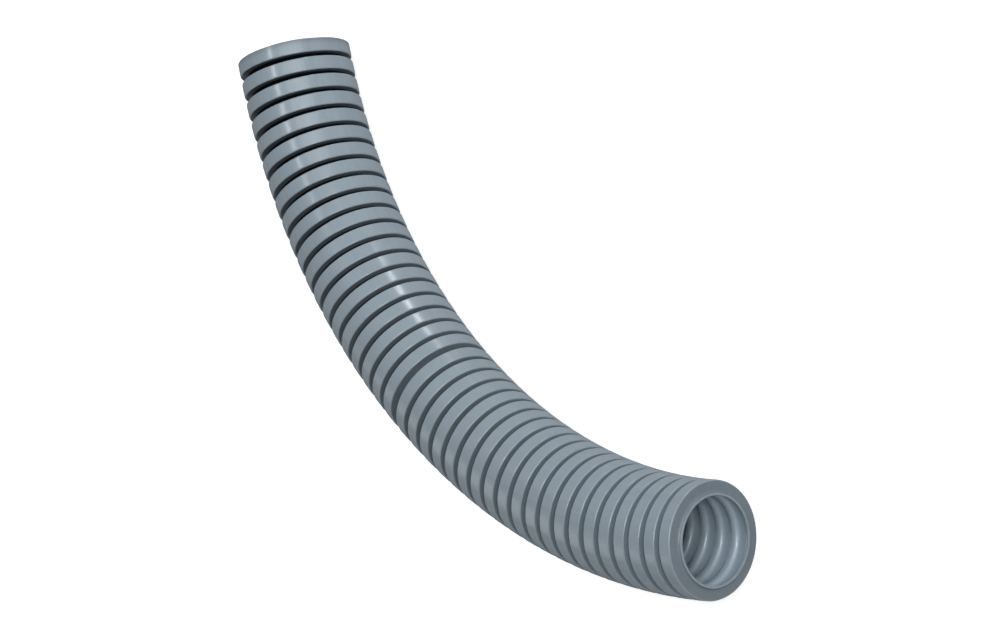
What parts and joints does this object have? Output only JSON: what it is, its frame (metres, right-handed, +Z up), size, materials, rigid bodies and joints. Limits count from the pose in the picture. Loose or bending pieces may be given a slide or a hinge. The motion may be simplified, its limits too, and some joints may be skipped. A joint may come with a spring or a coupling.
{
  "type": "corrugated conduit",
  "caption": "Short curved length of pliable corrugated plastic conduit with flat crests, narrow grooves and open ends.",
  "frame": {"origin": "middle of the base of the bounding box: the conduit lies flat on a level floor at z = 0", "axes": "+X along the chord between the two open ends, +Y towards the outside of the bend at its middle, +Z up"},
  "size_m": [0.1816, 0.05, 0.0248],
  "materials": {
    "conduit_plastic": "blue-grey moulded plastic with a soft satin sheen"
  },
  "bodies": {
    "root": {"conduit": "conduit_plastic"}
  },
  "joints": []
}
